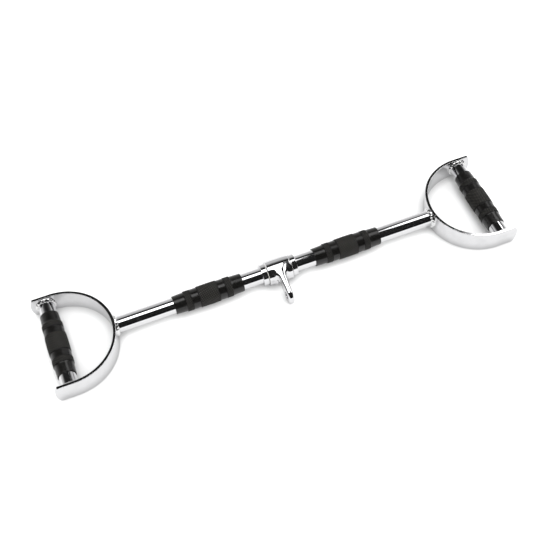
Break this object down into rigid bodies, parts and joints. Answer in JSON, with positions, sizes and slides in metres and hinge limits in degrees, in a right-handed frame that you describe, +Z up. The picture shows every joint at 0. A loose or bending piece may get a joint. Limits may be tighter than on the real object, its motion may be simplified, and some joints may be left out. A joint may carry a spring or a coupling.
{
  "type": "cable pull-down bar",
  "caption": "Straight chrome cable bar with a revolving hanger in the middle, rubber grips, and a flat-strap stirrup handle at each end.",
  "frame": {"origin": "under the middle of the bar, in the plane that the hanger's sleeve and the tip of its lug rest on, 1.2 mm below the straps", "axes": "+X along the bar, +Y away from the side that the hanger's lug points to at rest, +Z up"},
  "size_m": [0.826, 0.179, 0.0424],
  "materials": {
    "chrome_tube": "bright chrome plate, mirror smooth",
    "chrome_strap": "bright chrome plate on rolled flat bar, faint waviness",
    "chrome_weld": "chrome plate over a rippled weld bead",
    "chrome_casting": "chrome plate over a fettled casting, slightly soft",
    "chrome_collar": "bright chrome plate on a turned ring",
    "grip_rubber": "black rubber, satin smooth bands and fine diamond knurling",
    "bush_nylon": "off-white machined nylon",
    "screw_steel": "dull zinc-plated steel"
  },
  "bodies": {
    "bar": {"bar_tube": "chrome_tube", "left_stirrup": "chrome_strap", "right_stirrup": "chrome_strap", "left_bar_weld": "chrome_weld", "right_bar_weld": "chrome_weld", "left_handle_post": "chrome_tube", "right_handle_post": "chrome_tube", "left_front_post_weld": "chrome_weld", "left_rear_post_weld": "chrome_weld", "right_front_post_weld": "chrome_weld", "right_rear_post_weld": "chrome_weld", "left_bar_grip": "grip_rubber", "right_bar_grip": "grip_rubber", "left_handle_grip": "grip_rubber", "right_handle_grip": "grip_rubber", "left_hanger_collar": "chrome_collar", "right_hanger_collar": "chrome_collar", "left_collar_screw": "screw_steel", "right_collar_screw": "screw_steel"},
    "hanger": {"hanger": "chrome_casting", "left_hanger_bush": "bush_nylon", "right_hanger_bush": "bush_nylon"}
  },
  "joints": [
    {"name": "hanger_swivel", "type": "hinge", "parent": "bar", "child": "hanger", "pos_m": [0, 0, 0.0212], "axis": [1, 0, 0], "continuous": true}
  ]
}
